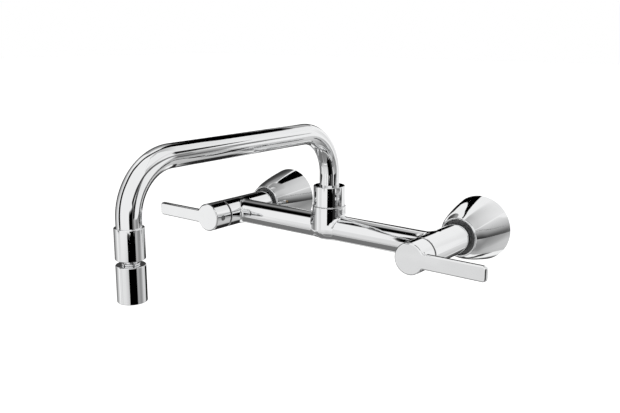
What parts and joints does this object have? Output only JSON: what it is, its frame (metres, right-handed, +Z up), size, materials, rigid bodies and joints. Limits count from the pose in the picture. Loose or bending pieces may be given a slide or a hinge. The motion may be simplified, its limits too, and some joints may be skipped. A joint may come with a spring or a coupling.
{
  "type": "wall-mounted kitchen mixer",
  "caption": "Wall-mounted chrome kitchen mixer with a flat lever on each side, conical wall flanges, a crossbar and a high swinging tube spout that ends in a tilting aerator.",
  "frame": {"origin": "on the wall plane, midway between the two wall inlets at the height of their axes", "axes": "+X along the crossbar to the right as one faces the wall, +Y into the wall, +Z up"},
  "size_m": [0.3178, 0.3044, 0.1147],
  "materials": {
    "chrome": "polished",
    "brass": "turned",
    "steel": "plain",
    "rubber": "matt",
    "ceramic": "lapped",
    "black_plastic": "matt",
    "white_plastic": "matt",
    "grey_plastic": "satin"
  },
  "bodies": {
    "mixer_body": {"body_casting": "chrome", "inlet_nipples": "brass", "union_gaskets": "rubber", "tailpieces": "brass", "union_nuts": "steel", "wall_flanges": "chrome", "flange_grip_rings": "rubber", "seat_seals": "rubber", "fixed_discs": "ceramic", "headworks": "brass", "black_rings": "black_plastic", "spout_glide_ring": "white_plastic", "spout_seal_ring": "rubber"},
    "left_lever": {"left_handle": "chrome", "left_set_screw": "steel", "left_index_plug": "grey_plastic", "left_spindle": "brass", "left_moving_disc": "ceramic"},
    "right_lever": {"right_handle": "chrome", "right_set_screw": "steel", "right_index_plug": "grey_plastic", "right_spindle": "brass", "right_moving_disc": "ceramic"},
    "spout": {"spout_tube": "chrome", "spout_collar": "chrome", "collar_grub_screw": "steel", "end_sleeve": "chrome"},
    "joint_seat": {"ball_seat": "black_plastic"},
    "aerator": {"ball_stem": "chrome", "aerator_housing": "chrome", "jet_insert": "white_plastic"}
  },
  "joints": [
    {"name": "left_handle_turn", "type": "hinge", "parent": "mixer_body", "child": "left_lever", "pos_m": [-0.1, -0.1, 0], "axis": [0, -1, 0], "range_deg": [0, 90]},
    {"name": "right_handle_turn", "type": "hinge", "parent": "mixer_body", "child": "right_lever", "pos_m": [0.1, -0.1, 0], "axis": [0, 1, 0], "range_deg": [0, 90]},
    {"name": "spout_swing", "type": "hinge", "parent": "mixer_body", "child": "spout", "pos_m": [0, -0.0745, 0.03], "axis": [0, 0, 1], "range_deg": [-100, 100]},
    {"name": "aerator_spin", "type": "hinge", "parent": "spout", "child": "joint_seat", "pos_m": [0, -0.2811, 0.0247], "axis": [0, 0, 1], "continuous": true},
    {"name": "aerator_tilt", "type": "hinge", "parent": "joint_seat", "child": "aerator", "pos_m": [0, -0.2811, 0.0247], "axis": [1, 0, 0], "range_deg": [-15, 15]}
  ]
}
